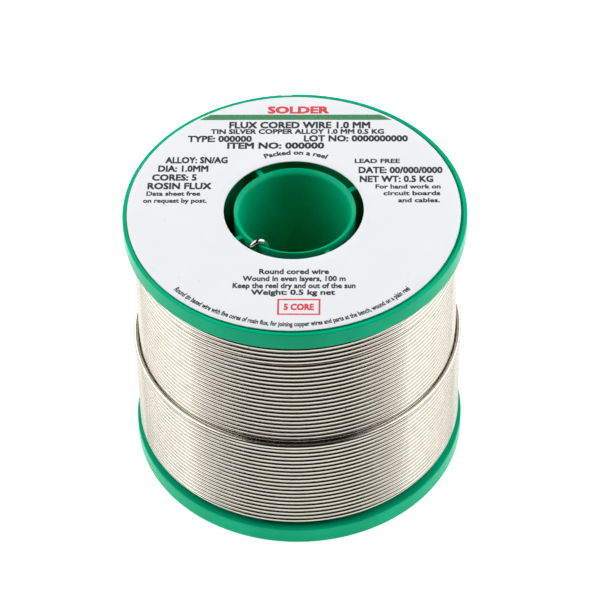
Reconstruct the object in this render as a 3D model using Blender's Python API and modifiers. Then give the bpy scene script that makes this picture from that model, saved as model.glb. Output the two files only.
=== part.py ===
"""A spool of flux-cored solder wire: one moulded spool, one long wound wire and one paper label.

Metres, +Z up. The origin is the middle of the face that the spool stands on, and +Z is the spindle axis.
The spool is the same at both ends, so it can stand on either flange or hang on a spindle through its bore.
"""

import math

import bpy
from mathutils import Vector

# Moulded spool: two flanges, a barrel between them and a spindle tube inside the barrel
FLANGE_DIAMETER = 0.0610
SPOOL_HEIGHT = 0.0550
RIM_THICKNESS = 0.0034
RIM_EDGE_RADIUS = 0.0002
LIP_WIDTH = 0.0007
RECESS_DEPTH = 0.0005
BARREL_DIAMETER = 0.0326
BARREL_WALL = 0.0015
SPINDLE_BORE = 0.0197
SPINDLE_WALL = 0.00095
MOUTH_DEPTH = 0.0010
MOUTH_LAND = 0.00015
RIB_COUNT = 4
RIB_THICKNESS = 0.0009
RIB_DROP = 0.0009
RIB_ROOT = 0.0004
FIRST_RIB_ANGLE = math.radians(30)

# Solder wire and how it is wound
WIRE_DIAMETER = 0.0010
TURN_SLACK = 0.000015
LAYER_SLACK = 0.000034
BOTTOM_START_GAP = 0.0012
PART_LAYER_TURNS = 21
FREE_END_ANGLE = math.radians(75)
FREE_END_GAP = math.radians(4)

# Start of the wire: out of the barrel, up beside the spindle tube, over its mouth and into the bore
TAIL_ANGLE = math.radians(226)
TAIL_TWIST = math.radians(16.5)
TAIL_END_DEPTH = 0.0030
FIRST_BEND_SLOPE = 0.39
TAIL_STEPS = 4

# Paper label in the top recess
LABEL_THICKNESS = 0.0002

# Between pieces that touch on the real object, and the fineness of round pieces
CONTACT_GAP = 0.0003
TURNED_SEGMENTS = 72
ARC_STEPS = 3
MERGE_DISTANCE = 0.00001

# Sizes that follow from the ones above
FLANGE_RADIUS = FLANGE_DIAMETER / 2
BARREL_RADIUS = BARREL_DIAMETER / 2
CAVITY_RADIUS = BARREL_RADIUS - BARREL_WALL
BORE_RADIUS = SPINDLE_BORE / 2
TUBE_RADIUS = BORE_RADIUS + SPINDLE_WALL
RECESS_RADIUS = FLANGE_RADIUS - LIP_WIDTH
LABEL_BOTTOM = SPOOL_HEIGHT - RECESS_DEPTH + CONTACT_GAP
LABEL_TOP = LABEL_BOTTOM + LABEL_THICKNESS
TUBE_TOP = LABEL_TOP
TUBE_BOTTOM = SPOOL_HEIGHT - TUBE_TOP

WIRE_RADIUS = WIRE_DIAMETER / 2
TURN_PITCH = WIRE_DIAMETER + TURN_SLACK
LAYER_RISE = WIRE_DIAMETER * math.cos(math.radians(30)) + LAYER_SLACK
LOWEST_TURN = RIM_THICKNESS + BOTTOM_START_GAP
FULL_LAYER_SPACE = SPOOL_HEIGHT - RIM_THICKNESS - CONTACT_GAP - LOWEST_TURN
FULL_LAYER_TURNS = int(FULL_LAYER_SPACE / TURN_PITCH)
PROUD_SPACE = CONTACT_GAP + WIRE_DIAMETER
FULL_LAYERS = int((FLANGE_RADIUS - PROUD_SPACE - BARREL_RADIUS - WIRE_DIAMETER) / LAYER_RISE) + 1
FULL_RADIUS = BARREL_RADIUS + WIRE_DIAMETER + (FULL_LAYERS - 1) * LAYER_RISE
RISE_RADIUS = min(TUBE_RADIUS + CONTACT_GAP + WIRE_RADIUS, (TUBE_RADIUS + CAVITY_RADIUS) / 2)
LABEL_HOLE_RADIUS = RISE_RADIUS + WIRE_RADIUS + CONTACT_GAP
EXIT_RADIUS = WIRE_RADIUS + CONTACT_GAP
EXIT_HEIGHT = SPOOL_HEIGHT - RIM_THICKNESS - EXIT_RADIUS - RIM_EDGE_RADIUS


def clear_scene():
    """Remove whatever the scene holds."""
    for thing in list(bpy.data.objects):
        bpy.data.objects.remove(thing, do_unlink=True)


def new_collection(name):
    """Add a collection to the scene."""
    collection = bpy.data.collections.new(name)
    bpy.context.scene.collection.children.link(collection)
    return collection


def make_material(name, colour, roughness, metallic=0.0):
    """A Principled material with one colour."""
    material = bpy.data.materials.new(name)
    material.use_nodes = True
    shader = material.node_tree.nodes["Principled BSDF"]
    shader.inputs["Base Color"].default_value = (*colour, 1.0)
    shader.inputs["Roughness"].default_value = roughness
    shader.inputs["Metallic"].default_value = metallic
    return material


def arc(centre_r, centre_z, radius, start, end):
    """Points of an arc in the (radius, height) plane, angles in degrees from +r towards +z."""
    points = []
    for step in range(ARC_STEPS + 1):
        angle = math.radians(start + (end - start) * step / ARC_STEPS)
        points.append((centre_r + radius * math.cos(angle), centre_z + radius * math.sin(angle)))
    return points


def turned_object(name, profile, collection):
    """A ring whose closed section is swept round Z; the section runs down its outer side."""
    mesh = bpy.data.meshes.new(name)
    count = len(profile)
    edges = [(index, (index + 1) % count) for index in range(count)]
    mesh.from_pydata([(r, 0.0, z) for r, z in profile], edges, [])
    obj = bpy.data.objects.new(name, mesh)
    collection.objects.link(obj)
    screw = obj.modifiers.new("turn", "SCREW")
    screw.axis = "Z"
    screw.angle = math.tau
    screw.steps = TURNED_SEGMENTS
    screw.render_steps = TURNED_SEGMENTS
    screw.use_merge_vertices = True
    screw.merge_threshold = MERGE_DISTANCE
    screw.use_smooth_shade = True
    return obj


def ring_profile(inner, outer, low, high, corner):
    """A rectangular ring section with rounded outer corners."""
    profile = arc(outer - corner, high - corner, corner, 90, 0)
    profile += arc(outer - corner, low + corner, corner, 0, -90)
    profile += [(inner, low), (inner, high)]
    return profile


def wire_curve(name, points, material, collection):
    """A length of solder wire along the given points."""
    curve = bpy.data.curves.new(name, "CURVE")
    curve.dimensions = "3D"
    curve.bevel_depth = WIRE_RADIUS
    curve.bevel_resolution = 2
    curve.use_fill_caps = True
    spline = curve.splines.new("POLY")
    spline.points.add(len(points) - 1)
    for target, point in zip(spline.points, points):
        target.co = (*point, 1.0)
    obj = bpy.data.objects.new(name, curve)
    collection.objects.link(obj)
    curve.materials.append(material)
    return obj


def as_guide(obj):
    """Mark an object as one that only shapes another."""
    obj.hide_render = True
    obj.display_type = "WIRE"
    return obj


def combine(obj, other, operation):
    """Join another shape to an object, or cut it away."""
    boolean = obj.modifiers.new(other.name, "BOOLEAN")
    boolean.operation = operation
    boolean.solver = "EXACT"
    boolean.object = other


def polar(radius, angle, height):
    """A point from its distance to the spindle axis, its angle round it and its height."""
    return Vector((radius * math.cos(angle), radius * math.sin(angle), height))


def smooth_route(points):
    """Points along a Catmull-Rom curve through the given ones."""
    padded = [2 * points[0] - points[1], *points, 2 * points[-1] - points[-2]]
    route = []
    for index in range(1, len(padded) - 2):
        before, start, end, after = padded[index - 1:index + 3]
        for step in range(TAIL_STEPS):
            t = step / TAIL_STEPS
            linear = (end - before) * t
            square = (2 * before - 5 * start + 4 * end - after) * t ** 2
            cube = (3 * start - before - 3 * end + after) * t ** 3
            route.append(start + (linear + square + cube) / 2)
    route.append(points[-1])
    return route


def flanged_barrel_profile():
    """Section of the two flanges and the barrel, down the outside and back up the inside."""
    edge = RIM_EDGE_RADIUS
    rim = FLANGE_RADIUS - edge
    top_inner = SPOOL_HEIGHT - RIM_THICKNESS
    profile = arc(rim, SPOOL_HEIGHT - edge, edge, 90, 0)
    profile += arc(rim, top_inner + edge, edge, 0, -90)
    profile += [(BARREL_RADIUS, top_inner), (BARREL_RADIUS, RIM_THICKNESS)]
    profile += arc(rim, RIM_THICKNESS - edge, edge, 90, 0)
    profile += arc(rim, edge, edge, 0, -90)
    profile += [(RECESS_RADIUS, 0.0), (RECESS_RADIUS, RECESS_DEPTH)]
    profile += [(CAVITY_RADIUS, RECESS_DEPTH), (CAVITY_RADIUS, SPOOL_HEIGHT - RECESS_DEPTH)]
    profile += [(RECESS_RADIUS, SPOOL_HEIGHT - RECESS_DEPTH), (RECESS_RADIUS, SPOOL_HEIGHT)]
    return profile


def spindle_tube_profile():
    """Section of the spindle tube with a lead-in at each mouth."""
    mouth = TUBE_RADIUS - MOUTH_LAND
    return [
        (mouth, TUBE_TOP),
        (TUBE_RADIUS, TUBE_TOP),
        (TUBE_RADIUS, TUBE_BOTTOM),
        (mouth, TUBE_BOTTOM),
        (BORE_RADIUS, TUBE_BOTTOM + MOUTH_DEPTH),
        (BORE_RADIUS, TUBE_TOP - MOUTH_DEPTH),
    ]


def make_ribs(guides):
    """Thin walls that hold the spindle tube in the middle of the barrel."""
    length = CAVITY_RADIUS - TUBE_RADIUS + 2 * RIB_ROOT
    height = TUBE_TOP - TUBE_BOTTOM - 2 * RIB_DROP
    ribs = []
    for index in range(RIB_COUNT):
        angle = FIRST_RIB_ANGLE + index * math.tau / RIB_COUNT
        bpy.ops.mesh.primitive_cube_add(size=1.0)
        rib = bpy.context.object
        rib.name = f"rib_{index + 1}"
        rib.scale = (length, RIB_THICKNESS, height)
        rib.location = polar((CAVITY_RADIUS + TUBE_RADIUS) / 2, angle, SPOOL_HEIGHT / 2)
        rib.rotation_euler = (0.0, 0.0, angle)
        for holder in list(rib.users_collection):
            holder.objects.unlink(rib)
        guides.objects.link(rib)
        ribs.append(as_guide(rib))
    return ribs


def make_wire_exit(guides):
    """The hole through the barrel wall that the start of the wire comes in by."""
    bpy.ops.mesh.primitive_cylinder_add(radius=EXIT_RADIUS, depth=3 * BARREL_WALL, vertices=24)
    cutter = bpy.context.object
    cutter.name = "wire_exit_cutter"
    cutter.location = polar(BARREL_RADIUS - BARREL_WALL / 2, TAIL_ANGLE, EXIT_HEIGHT)
    cutter.rotation_euler = (0.0, math.pi / 2, TAIL_ANGLE)
    for holder in list(cutter.users_collection):
        holder.objects.unlink(cutter)
    guides.objects.link(cutter)
    return as_guide(cutter)


def make_spool(parts, guides):
    """The one-piece moulding: flanges, barrel, spindle tube and ribs."""
    spool = turned_object("moulded_spool", flanged_barrel_profile(), parts)
    spool.data.materials.append(make_material("green_plastic", (0.0, 0.42, 0.24), 0.3))
    combine(spool, make_wire_exit(guides), "DIFFERENCE")
    tube = as_guide(turned_object("spindle_tube", spindle_tube_profile(), guides))
    ribs = make_ribs(guides)
    for rib in ribs:
        combine(spool, rib, "UNION")
    combine(spool, tube, "UNION")


def make_layers(parts, material):
    """The wound wire, as rings of the wire's own layers."""
    inner_outer = FULL_RADIUS - WIRE_DIAMETER - CONTACT_GAP
    high = LOWEST_TURN + FULL_LAYER_TURNS * TURN_PITCH
    part_high = LOWEST_TURN + (PART_LAYER_TURNS - 1) * TURN_PITCH - CONTACT_GAP
    sections = {
        "wire_inner_layers": (BARREL_RADIUS + CONTACT_GAP, inner_outer, LOWEST_TURN, high),
        "wire_outer_layer": (FULL_RADIUS - WIRE_DIAMETER, FULL_RADIUS, LOWEST_TURN, high),
        "wire_part_layer": (FULL_RADIUS + CONTACT_GAP, FULL_RADIUS + LAYER_RISE, LOWEST_TURN, part_high),
    }
    for name, (inner, outer, low, top) in sections.items():
        corner = min(WIRE_RADIUS, (outer - inner) / 2)
        ring = turned_object(name, ring_profile(inner, outer, low, top, corner), parts)
        ring.data.materials.append(material)


def make_last_turn(parts, material):
    """The last turn of the part layer, lying proud, with the wire's free end beside its own start."""
    height = LOWEST_TURN + (PART_LAYER_TURNS - 1) * TURN_PITCH + WIRE_RADIUS
    radius = FULL_RADIUS + CONTACT_GAP + WIRE_RADIUS
    start = FREE_END_ANGLE + FREE_END_GAP / 2
    sweep = math.tau - FREE_END_GAP
    points = []
    for step in range(TURNED_SEGMENTS + 1):
        points.append(polar(radius, start + sweep * step / TURNED_SEGMENTS, height))
    wire_curve("wire_last_turn", points, material, parts)


def make_start_tail(parts, material):
    """The start of the wire, from the barrel wall to its end inside the bore."""
    over_rim = TUBE_TOP + CONTACT_GAP + WIRE_RADIUS
    bore_side = BORE_RADIUS - CONTACT_GAP - WIRE_RADIUS
    climb = over_rim - EXIT_HEIGHT
    bend_radius = min((CAVITY_RADIUS + RISE_RADIUS) / 2, CAVITY_RADIUS - WIRE_RADIUS)
    bend_climb = FIRST_BEND_SLOPE * (CAVITY_RADIUS - bend_radius)
    middle = (TUBE_RADIUS + BORE_RADIUS) / 2
    stations = [
        (BARREL_RADIUS, 0.0, EXIT_HEIGHT),
        (CAVITY_RADIUS, 0.0, EXIT_HEIGHT),
        (bend_radius, 0.0, EXIT_HEIGHT + bend_climb),
        (RISE_RADIUS, 0.06, EXIT_HEIGHT + 0.45 * climb),
        (RISE_RADIUS, 0.16, EXIT_HEIGHT + 0.78 * climb),
        (TUBE_RADIUS + CONTACT_GAP, 0.35, over_rim - WIRE_RADIUS / 4),
        (middle, 0.58, over_rim + WIRE_RADIUS / 4),
        (bore_side + WIRE_RADIUS / 2, 0.80, over_rim - WIRE_RADIUS),
        (bore_side, 0.95, TUBE_TOP - MOUTH_DEPTH / 2),
        (bore_side, 1.0, TUBE_TOP - TAIL_END_DEPTH),
    ]
    points = [polar(r, TAIL_ANGLE + share * TAIL_TWIST, z) for r, share, z in stations]
    wire_curve("wire_start_tail", smooth_route(points), material, parts)


def make_label(parts):
    """The round paper label, with a hole that leaves the spindle mouth and the tail free."""
    inner = LABEL_HOLE_RADIUS
    outer = RECESS_RADIUS - CONTACT_GAP
    profile = [(outer, LABEL_TOP), (outer, LABEL_BOTTOM), (inner, LABEL_BOTTOM), (inner, LABEL_TOP)]
    label = turned_object("top_label", profile, parts)
    label.data.materials.append(make_material("white_paper", (0.85, 0.86, 0.88), 0.6))


def main():
    """Build the whole spool."""
    clear_scene()
    parts = new_collection("solder_wire_spool")
    guides = new_collection("guides")
    solder = make_material("lead_free_solder", (0.78, 0.76, 0.72), 0.25, 1.0)
    make_spool(parts, guides)
    make_layers(parts, solder)
    make_last_turn(parts, solder)
    make_start_tail(parts, solder)
    make_label(parts)


main()
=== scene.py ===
"""The looks of a spool of flux-cored solder wire: the moulded spool, the wound wire and the paper label.

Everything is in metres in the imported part's own frame, +Z up, with the spindle axis along Z.
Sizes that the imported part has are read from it; the rest are fields of the classes below, in millimetres.
"""

import logging
import math
from dataclasses import dataclass
from enum import Enum

import bmesh
import bpy
from mathutils import Matrix, Vector, noise


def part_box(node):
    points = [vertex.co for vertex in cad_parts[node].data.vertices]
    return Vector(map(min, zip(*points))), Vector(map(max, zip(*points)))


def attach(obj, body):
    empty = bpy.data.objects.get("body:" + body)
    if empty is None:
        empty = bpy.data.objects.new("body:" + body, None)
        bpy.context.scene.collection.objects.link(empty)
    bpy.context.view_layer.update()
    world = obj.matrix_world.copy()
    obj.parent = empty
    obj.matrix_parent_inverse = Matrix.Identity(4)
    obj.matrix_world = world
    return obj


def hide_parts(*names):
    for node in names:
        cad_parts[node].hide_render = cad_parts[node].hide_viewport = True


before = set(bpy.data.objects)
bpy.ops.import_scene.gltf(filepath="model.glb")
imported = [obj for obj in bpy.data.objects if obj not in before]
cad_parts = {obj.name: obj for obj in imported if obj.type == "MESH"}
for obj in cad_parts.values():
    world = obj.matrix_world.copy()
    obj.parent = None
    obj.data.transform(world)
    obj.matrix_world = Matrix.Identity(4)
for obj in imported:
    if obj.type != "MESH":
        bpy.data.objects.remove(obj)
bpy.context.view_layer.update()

BODY = "root"
MM = 0.001

# Doubled points of a print's mesh lie nearer than this, at the typeface's size 1
SEAM = 0.00001

# Extrude of flat print, until it gets its real height
FILM = 0.1

# A turn that no coil has, for a coil without a loose turn or a proud end
NO_TURN = 1000.0

# Sockets of a Mix node that blends colours: its two colours and its result
COLOUR_A = 6
COLOUR_B = 7
BLENDED = 2

# Period of a wave texture's bands at a scale of 1
BAND_PERIOD = math.tau / 20

# Height of the built-in typeface's capitals at size 1
LETTER_HEIGHT = 0.729

log = logging.getLogger("solder_spool")

Outline = list[tuple[float, float]]
Setting = float | int | str | tuple | bpy.types.NodeSocket | bpy.types.Node
TreeValues = dict[str, float | int | bpy.types.Material]


# ---------------------------------------------------------------- shared helpers

def set_inputs(
    tree: bpy.types.NodeTree, node: bpy.types.Node, inputs: dict[str | int, Setting]
) -> None:
    """Set or link inputs of a node.

    Args:
        tree: The node's tree.
        node: The node.
        inputs: Values by input name or number; a node links its first output, and a socket links itself.
    """
    for key, value in inputs.items():
        if isinstance(value, bpy.types.Node):
            value = value.outputs[0]
        if isinstance(value, bpy.types.NodeSocket):
            tree.links.new(value, node.inputs[key])
        else:
            node.inputs[key].default_value = value


def add_node(
    tree: bpy.types.NodeTree,
    kind: str,
    inputs: dict[str | int, Setting] | None = None,
    **settings: Setting,
) -> bpy.types.Node:
    """Add a node to a tree with its settings and its inputs.

    Args:
        tree: The material's, world's or geometry's node tree.
        kind: The node's type name.
        inputs: Values by input name or number, as for set_inputs.
        settings: The node's own properties.

    Returns:
        The new node.
    """
    node = tree.nodes.new(kind)
    for key, value in settings.items():
        setattr(node, key, value)
    set_inputs(tree, node, inputs or {})
    return node


def linear_rgba(hex_colour: str) -> tuple[float, float, float, float]:
    """Turn an sRGB hex colour into the linear RGBA that shaders use.

    Args:
        hex_colour: A colour such as "#00A46C".

    Returns:
        Linear red, green and blue, and an alpha of 1.
    """
    channels = [int(hex_colour[place:place + 2], 16) / 255 for place in (1, 3, 5)]
    linear = [c / 12.92 if c <= 0.04045 else ((c + 0.055) / 1.055) ** 2.4 for c in channels]
    return (*linear, 1.0)


def per_metre(feature: float) -> float:
    """Scale of a pattern whose features are the given number of millimetres across."""
    return 1 / (feature * MM)


def new_material(name: str) -> tuple[bpy.types.Material, bpy.types.NodeTree, bpy.types.Node]:
    """Start a material.

    Args:
        name: What the real material is and how it was made.

    Returns:
        The material, its node tree and its Principled shader, wired to the output.
    """
    material = bpy.data.materials.new(name)
    material.use_nodes = True
    tree = material.node_tree
    tree.nodes.clear()
    shader = add_node(tree, "ShaderNodeBsdfPrincipled")
    add_node(tree, "ShaderNodeOutputMaterial", {"Surface": shader})
    return material, tree, shader


def new_object(name: str, mesh: bpy.types.Mesh) -> bpy.types.Object:
    """Put a mesh in the scene as an object at the origin.

    Args:
        name: The object's name.
        mesh: Its mesh.

    Returns:
        The object.
    """
    obj = bpy.data.objects.new(name, mesh)
    bpy.context.scene.collection.objects.link(obj)
    return obj


def evaluated_mesh(obj: bpy.types.Object, name: str) -> bpy.types.Mesh:
    """Read an object's mesh with its modifiers done.

    Args:
        obj: A mesh, curve or text object.
        name: The new mesh's name.

    Returns:
        A plain mesh in the object's own coordinates.
    """
    graph = bpy.context.evaluated_depsgraph_get()
    source = obj.evaluated_get(graph)
    mesh = bpy.data.meshes.new_from_object(source, preserve_all_data_layers=True, depsgraph=graph)
    mesh.name = name
    return mesh


def bake_modifiers(obj: bpy.types.Object) -> bpy.types.Object:
    """Make an object's modifiers part of its mesh.

    Args:
        obj: A mesh object.

    Returns:
        The same object, with a plain mesh and no modifiers.
    """
    mesh = evaluated_mesh(obj, obj.name)
    obj.modifiers.clear()
    obj.data = mesh
    return obj


def use_tree(obj: bpy.types.Object, tree: bpy.types.NodeTree, values: TreeValues) -> None:
    """Give an object a geometry tree as its modifier.

    Args:
        obj: A mesh or curve object.
        tree: The geometry tree.
        values: Values for the tree's inputs, by name.
    """
    modifier = obj.modifiers.new(tree.name, "NODES")
    modifier.node_group = tree
    for item in tree.interface.items_tree:
        if item.item_type == "SOCKET" and item.in_out == "INPUT" and item.name in values:
            modifier[item.identifier] = values[item.name]


def grow_from_nodes(name: str, tree: bpy.types.NodeTree, values: TreeValues) -> bpy.types.Object:
    """Make a plain mesh object from a geometry tree.

    Args:
        name: The object's name.
        tree: A geometry tree that makes its own geometry.
        values: Values for the tree's inputs, by name.

    Returns:
        The object, with the tree's result as its mesh.
    """
    obj = new_object(name, bpy.data.meshes.new(name))
    use_tree(obj, tree, values)
    return bake_modifiers(obj)


def new_geometry_tree(name: str, inputs: dict[str, str]) -> tuple[bpy.types.NodeTree, bpy.types.Node]:
    """Start a geometry tree with named inputs.

    Args:
        name: The tree's name.
        inputs: Each input's name and kind of value, such as "Float", "Int" or "Material".

    Returns:
        The tree and its input node.
    """
    tree = bpy.data.node_groups.new(name, "GeometryNodeTree")
    for label, kind in inputs.items():
        tree.interface.new_socket(label, in_out="INPUT", socket_type=f"NodeSocket{kind}")
    tree.interface.new_socket("Geometry", in_out="OUTPUT", socket_type="NodeSocketGeometry")
    return tree, add_node(tree, "NodeGroupInput")


def finish_geometry_tree(
    tree: bpy.types.NodeTree, geometry: bpy.types.Node, material: bpy.types.NodeSocket
) -> None:
    """End a geometry tree with real, smooth geometry that has its material.

    Args:
        tree: The tree.
        geometry: The node whose first output is the geometry.
        material: The input that holds the material.
    """
    real = add_node(tree, "GeometryNodeRealizeInstances", {"Geometry": geometry})
    dressed = add_node(tree, "GeometryNodeSetMaterial", {"Geometry": real, "Material": material})
    smooth = add_node(tree, "GeometryNodeSetShadeSmooth", {"Geometry": dressed})
    add_node(tree, "NodeGroupOutput", {"Geometry": smooth})


class RingShape(Enum):
    """What stands at each place of a ring of equal shapes."""

    WALL = "GeometryNodeMeshCube"
    PIN = "GeometryNodeMeshCylinder"


def ring_of_shapes(shape: RingShape) -> bpy.types.NodeTree:
    """Build the tree that sets equal shapes round the spindle axis.

    Args:
        shape: A wall whose length is radial, or an upright pin.

    Returns:
        A tree with inputs for the count, the ring and the shape's sizes.
    """
    tree, given = new_geometry_tree(
        f"ring_of_{shape.name.lower()}s",
        {"Count": "Int", "Ring Radius": "Float", "First Angle": "Float", "Height": "Float",
         "Length": "Float", "Thickness": "Float", "Depth": "Float", "Material": "Material"},
    )
    size = given.outputs
    places = add_node(
        tree, "GeometryNodeMeshCircle", {"Vertices": size["Count"], "Radius": size["Ring Radius"]}
    )
    index = add_node(tree, "GeometryNodeInputIndex")
    step = add_node(tree, "ShaderNodeMath", {0: math.tau, 1: size["Count"]}, operation="DIVIDE")
    angle = add_node(tree, "ShaderNodeMath", {0: index, 1: step}, operation="MULTIPLY")
    turn = add_node(tree, "ShaderNodeCombineXYZ", {"Z": angle})
    if shape is RingShape.WALL:
        extent = add_node(
            tree, "ShaderNodeCombineXYZ", {"X": size["Length"], "Y": size["Thickness"], "Z": size["Depth"]}
        )
        body = add_node(tree, shape.value, {"Size": extent})
    else:
        body = add_node(tree, shape.value, {"Vertices": 24, "Radius": size["Length"], "Depth": size["Depth"]})
    copies = add_node(
        tree, "GeometryNodeInstanceOnPoints", {"Points": places, "Instance": body, "Rotation": turn}
    )
    lift = add_node(tree, "ShaderNodeCombineXYZ", {"Z": size["Height"]})
    first = add_node(tree, "ShaderNodeCombineXYZ", {"Z": size["First Angle"]})
    placed = add_node(
        tree, "GeometryNodeTransform", {"Geometry": copies, "Translation": lift, "Rotation": first}
    )
    finish_geometry_tree(tree, placed, size["Material"])
    return tree


def rounded_outline(corners: list[tuple[float, float, float]], steps: int) -> Outline:
    """Round the corners of a closed outline.

    Args:
        corners: Radius, height and fillet radius of each corner, in millimetres.
        steps: Straight pieces in each fillet.

    Returns:
        The outline's points, in metres.
    """
    outline = []
    for index, (radius, height, fillet) in enumerate(corners):
        here = Vector((radius, height))
        back = Vector(corners[index - 1][:2]) - here
        ahead = Vector(corners[(index + 1) % len(corners)][:2]) - here
        half = back.angle(ahead) / 2
        centre = here + (back.normalized() + ahead.normalized()).normalized() * fillet / math.sin(half)
        start = here + back.normalized() * fillet / math.tan(half) - centre
        sweep = start.angle_signed(here + ahead.normalized() * fillet / math.tan(half) - centre)
        for step in range(steps + 1):
            point = centre + Matrix.Rotation(-sweep * step / steps, 2) @ start
            outline.append((point.x * MM, point.y * MM))
    return outline


def lathe(name: str, outline: Outline, segments: int) -> bpy.types.Object:
    """Turn a closed outline round the spindle axis.

    Args:
        name: The object's name.
        outline: Radius and height of each point; it runs down the outer side.
        segments: Pieces in the full turn.

    Returns:
        A closed ring-shaped object.
    """
    count = len(outline)
    points = []
    for segment in range(segments):
        angle = math.tau * segment / segments
        points += [(r * math.cos(angle), r * math.sin(angle), z) for r, z in outline]
    faces = []
    for segment in range(segments):
        here = segment * count
        ahead = (segment + 1) % segments * count
        for index in range(count):
            after = (index + 1) % count
            faces.append((here + index, here + after, ahead + after, ahead + index))
    mesh = bpy.data.meshes.new(name)
    mesh.from_pydata(points, [], faces)
    return new_object(name, mesh)


def combine(obj: bpy.types.Object, tool: bpy.types.Object, operation: str) -> None:
    """Join a shape to an object or cut it away, and use the shape up.

    Args:
        obj: The object that changes.
        tool: The shape that is joined or cut away.
        operation: "UNION" or "DIFFERENCE".
    """
    boolean = obj.modifiers.new(tool.name, "BOOLEAN")
    boolean.operation = operation
    boolean.solver = "EXACT"
    boolean.object = tool
    bake_modifiers(obj)
    bpy.data.objects.remove(tool, do_unlink=True)


def shade(obj: bpy.types.Object, crease: float) -> None:
    """Shade an object smooth, with sharp edges where its faces meet at more than a given angle.

    Args:
        obj: A mesh object.
        crease: The angle in degrees.
    """
    obj.data.shade_smooth()
    obj.data.set_sharp_from_angle(angle=math.radians(crease))


def polar(radius: float, azimuth: float, height: float) -> Vector:
    """A point from its distance to the axis and its height in metres, and its angle in degrees."""
    angle = math.radians(azimuth)
    return Vector((radius * math.cos(angle), radius * math.sin(angle), height))


def install(obj: bpy.types.Object, slot: str, *nodes: str) -> None:
    """Let a finished piece ride on the part and stand for the part's plain solids.

    Args:
        obj: The finished piece.
        slot: A material slot's name, or "" for a piece with a finish of its own; not used.
        nodes: The solids that it stands for.
    """
    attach(obj, BODY)
    if nodes:
        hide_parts(*nodes)
    log.info("%s: %d faces, stands for %s", obj.name, len(obj.data.polygons), ", ".join(nodes) or "nothing")


# ---------------------------------------------------------------- finishes

@dataclass(frozen=True)
class MouldedPolystyrene:
    """Injection-moulded polystyrene: glossy and even, with faint flow marks, scuffs and white specks."""

    name: str = "moulded_green_polystyrene"
    colour: str = "#00BB88"
    flow_colour: str = "#00B07E"
    scuff_colour: str = "#6FCBA6"
    sheen: float = 0.05
    refraction: float = 1.59
    roughness: float = 0.24
    flow_mark: float = 11.0
    mould_grain: float = 0.45
    scuff_length: float = 5.0
    speck_spacing: float = 2.6
    mark_strength: float = 0.2

    def material(self) -> bpy.types.Material:
        """Build the material from its colour, flow marks, scuffs, specks and mould grain.

        Returns:
            The material.
        """
        material, tree, shader = new_material(self.name)
        place = add_node(tree, "ShaderNodeTexCoord").outputs["Object"]
        flow = add_node(
            tree, "ShaderNodeTexNoise",
            {"Vector": place, "Scale": per_metre(self.flow_mark), "Detail": 3.0, "Distortion": 0.8},
        )
        streaks = add_node(tree, "ShaderNodeMapRange", {"Value": flow, "From Min": 0.35, "From Max": 0.65})
        base = add_node(
            tree, "ShaderNodeMix",
            {0: streaks, COLOUR_A: linear_rgba(self.flow_colour), COLOUR_B: linear_rgba(self.colour)},
            data_type="RGBA",
        )
        stretched = add_node(
            tree, "ShaderNodeMapping", {"Vector": place, "Rotation": (0.3, 0.2, 0.7), "Scale": (1.0, 14.0, 5.0)}
        )
        scratch = add_node(
            tree, "ShaderNodeTexNoise",
            {"Vector": stretched, "Scale": per_metre(self.scuff_length), "Detail": 4.0, "Roughness": 0.65},
        )
        scuffs = add_node(tree, "ShaderNodeMapRange", {"Value": scratch, "From Min": 0.66, "From Max": 0.76})
        cells = add_node(tree, "ShaderNodeTexVoronoi", {"Vector": place, "Scale": per_metre(self.speck_spacing)})
        specks = add_node(
            tree, "ShaderNodeMapRange",
            {"Value": cells, "From Min": 0.02, "From Max": 0.05, "To Min": 1.0, "To Max": 0.0},
        )
        marks = add_node(tree, "ShaderNodeMath", {0: scuffs, 1: specks}, operation="MAXIMUM")
        faint = add_node(tree, "ShaderNodeMath", {0: marks, 1: self.mark_strength}, operation="MULTIPLY")
        worn = add_node(
            tree, "ShaderNodeMix",
            {0: faint, COLOUR_A: base.outputs[BLENDED], COLOUR_B: linear_rgba(self.scuff_colour)},
            data_type="RGBA",
        )
        rough = add_node(
            tree, "ShaderNodeMapRange",
            {"Value": marks, "To Min": self.roughness, "To Max": self.roughness + 0.3},
        )
        grain = add_node(
            tree, "ShaderNodeTexNoise", {"Vector": place, "Scale": per_metre(self.mould_grain), "Detail": 2.0}
        )
        height = add_node(tree, "ShaderNodeMath", {0: grain, 1: marks}, operation="SUBTRACT")
        bump = add_node(tree, "ShaderNodeBump", {"Height": height, "Strength": 0.12, "Distance": 0.02 * MM})
        set_inputs(tree, shader, {
            "Base Color": worn.outputs[BLENDED], "Roughness": rough, "Normal": bump,
            "IOR": self.refraction, "Specular IOR Level": self.sheen,
        })
        return material


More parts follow.
